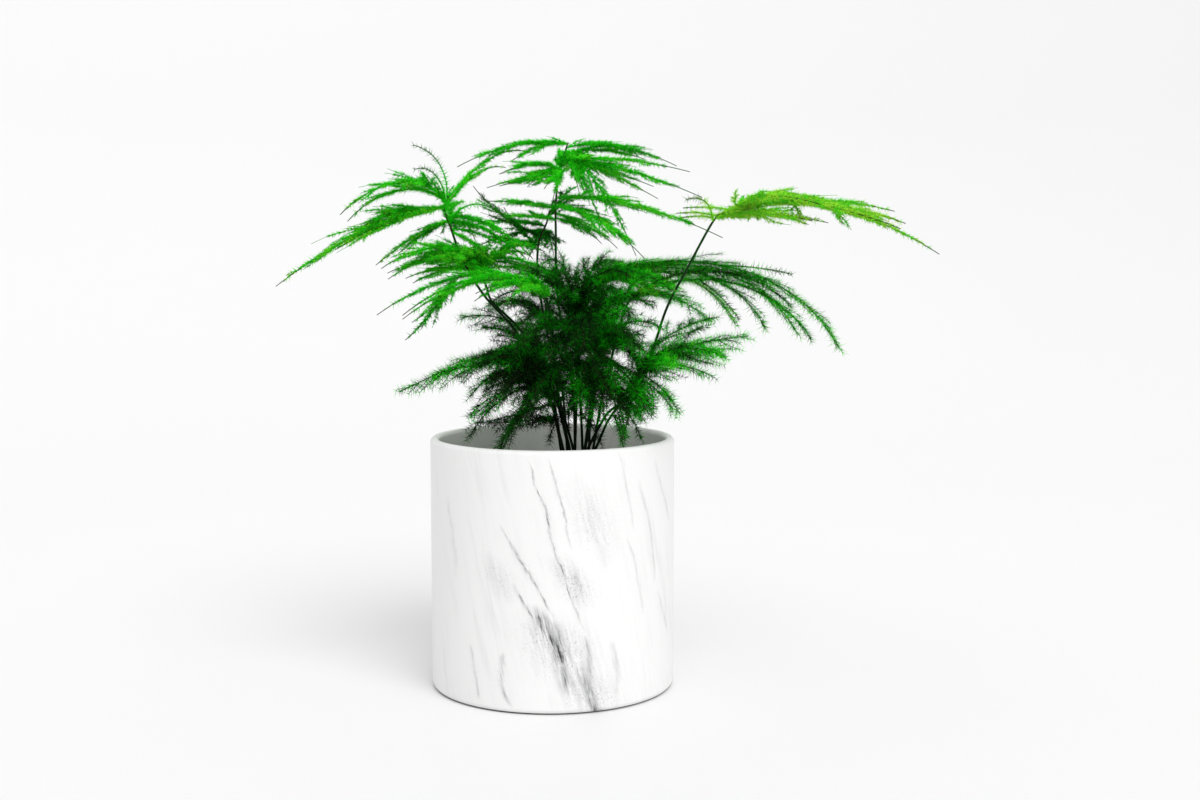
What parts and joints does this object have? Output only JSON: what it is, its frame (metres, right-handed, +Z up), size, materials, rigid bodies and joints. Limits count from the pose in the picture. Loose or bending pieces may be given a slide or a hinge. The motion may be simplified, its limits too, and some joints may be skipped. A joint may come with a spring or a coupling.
{
  "type": "lace fern in a pot",
  "caption": "Lace fern, Asparagus setaceus, with wiry stems and feathery plumes of fine needles, growing in a straight round marbled ceramic pot.",
  "frame": {"origin": "the middle of the pot's flat foot, on the surface that it stands on", "axes": "+Z up along the pot's axis; +X to the right as the picture shows the plant, towards the one long yellow-green plume; +Y away from the picture's camera"},
  "size_m": [0.3562, 0.2197, 0.3154],
  "materials": {
    "marble_glaze": "satin",
    "potting_soil": "matte",
    "wiry_stem": "satin",
    "needles_bright": "matte",
    "needles_green": "matte",
    "needles_yellow": "matte",
    "needles_dark": "matte"
  },
  "bodies": {
    "root": {"pot": "marble_glaze", "soil": "potting_soil", "stem_top": "wiry_stem", "plume_top": "needles_bright", "stem_top_left": "wiry_stem", "plume_top_left": "needles_green", "stem_left_high": "wiry_stem", "plume_left_high": "needles_bright", "stem_left_low": "wiry_stem", "plume_left_low": "needles_bright", "stem_left_mid": "wiry_stem", "plume_left_mid": "needles_green", "stem_far_right": "wiry_stem", "plume_far_right": "needles_yellow", "stem_right_high": "wiry_stem", "plume_right_high": "needles_green", "stem_right_mid": "wiry_stem", "plume_right_mid": "needles_green", "stem_right_low": "wiry_stem", "plume_right_low": "needles_green", "stem_bush_left": "wiry_stem", "plume_bush_left": "needles_green", "stem_bush_low": "wiry_stem", "plume_bush_low": "needles_dark", "stem_bush_front": "wiry_stem", "plume_bush_front": "needles_dark", "stem_bush_corner": "wiry_stem", "plume_bush_corner": "needles_green", "stem_bush_high": "wiry_stem", "plume_bush_high": "needles_dark", "stem_back_right": "wiry_stem", "plume_back_right": "needles_green", "stem_back_left": "wiry_stem", "plume_back_left": "needles_green"}
  },
  "joints": []
}
